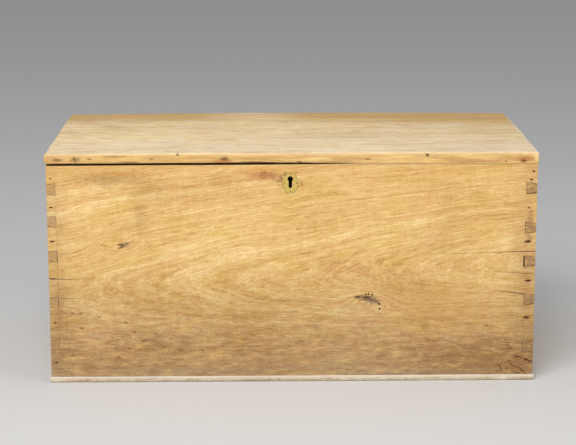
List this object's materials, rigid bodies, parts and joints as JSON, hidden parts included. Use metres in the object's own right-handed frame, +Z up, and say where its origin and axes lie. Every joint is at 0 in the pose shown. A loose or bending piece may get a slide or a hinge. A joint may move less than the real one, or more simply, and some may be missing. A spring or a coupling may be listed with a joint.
{
  "type": "sea chest",
  "caption": "Dovetailed plank chest with a hinged plank lid, box lock behind an oval escutcheon, open till inside and drop handles on its ends.",
  "frame": {"origin": "middle of the bottom's underside, on the floor", "axes": "+X to the right as the front is seen, along the length; the front faces -Y; +Z up"},
  "size_m": [1.0416, 0.533, 0.4816],
  "materials": {
    "camphor_wood": "old waxed and worn, satin",
    "bottom_wood": "bare, pale and scuffed",
    "till_wood": "bare, planed",
    "brass": "old brass, dulled by handling",
    "steel": "plain, lightly darkened",
    "iron": "blackened wrought iron, worn on the grips"
  },
  "bodies": {
    "carcase": {"front_board": "camphor_wood", "back_board": "camphor_wood", "left_end_board": "camphor_wood", "right_end_board": "camphor_wood", "bottom_board_front": "bottom_wood", "bottom_board_back": "bottom_wood", "till_side": "till_wood", "till_floor": "till_wood", "left_hinge_lower_leaf": "iron", "left_hinge_pin": "iron", "right_hinge_lower_leaf": "iron", "right_hinge_pin": "iron", "left_handle_plate": "iron", "right_handle_plate": "iron", "lock_plate": "brass", "lock_shell": "brass", "lock_ward": "steel", "key_pin": "steel", "escutcheon": "brass", "left_hinge_lower_screw_1": "steel", "left_hinge_lower_screw_2": "steel", "left_hinge_lower_screw_3": "steel", "right_hinge_lower_screw_1": "steel", "right_hinge_lower_screw_2": "steel", "right_hinge_lower_screw_3": "steel", "left_handle_screw_1": "iron", "left_handle_screw_2": "iron", "left_handle_screw_3": "iron", "left_handle_screw_4": "iron", "right_handle_screw_1": "iron", "right_handle_screw_2": "iron", "right_handle_screw_3": "iron", "right_handle_screw_4": "iron", "lock_screw_1": "steel", "lock_screw_2": "steel", "lock_screw_3": "steel", "lock_screw_4": "steel"},
    "lid": {"lid_board": "camphor_wood", "lid_batten_left": "camphor_wood", "lid_batten_right": "camphor_wood", "left_hinge_upper_leaf": "iron", "right_hinge_upper_leaf": "iron", "link_plate": "brass", "link_screw_1": "steel", "link_screw_2": "steel", "left_hinge_upper_screw_1": "steel", "left_hinge_upper_screw_2": "steel", "left_hinge_upper_screw_3": "steel", "right_hinge_upper_screw_1": "steel", "right_hinge_upper_screw_2": "steel", "right_hinge_upper_screw_3": "steel"},
    "bolt": {"lock_bolt": "steel", "bolt_spring": "steel"},
    "left_handle": {"left_handle_bail": "iron"},
    "right_handle": {"right_handle_bail": "iron"}
  },
  "joints": [
    {"name": "lid_hinge", "type": "hinge", "parent": "carcase", "child": "lid", "pos_m": [0, 0.263, 0.45865], "axis": [-1, 0, 0], "range_deg": [0, 100]},
    {"name": "bolt_slide", "type": "slide", "parent": "carcase", "child": "bolt", "axis": [1, 0, 0], "range_m": [0, 0.008]},
    {"name": "left_handle_swing", "type": "hinge", "parent": "carcase", "child": "left_handle", "pos_m": [-0.5133, 0, 0.2935], "axis": [0, 1, 0], "range_deg": [-7, 187]},
    {"name": "right_handle_swing", "type": "hinge", "parent": "carcase", "child": "right_handle", "pos_m": [0.5133, 0, 0.2935], "axis": [0, -1, 0], "range_deg": [-7, 187]}
  ]
}
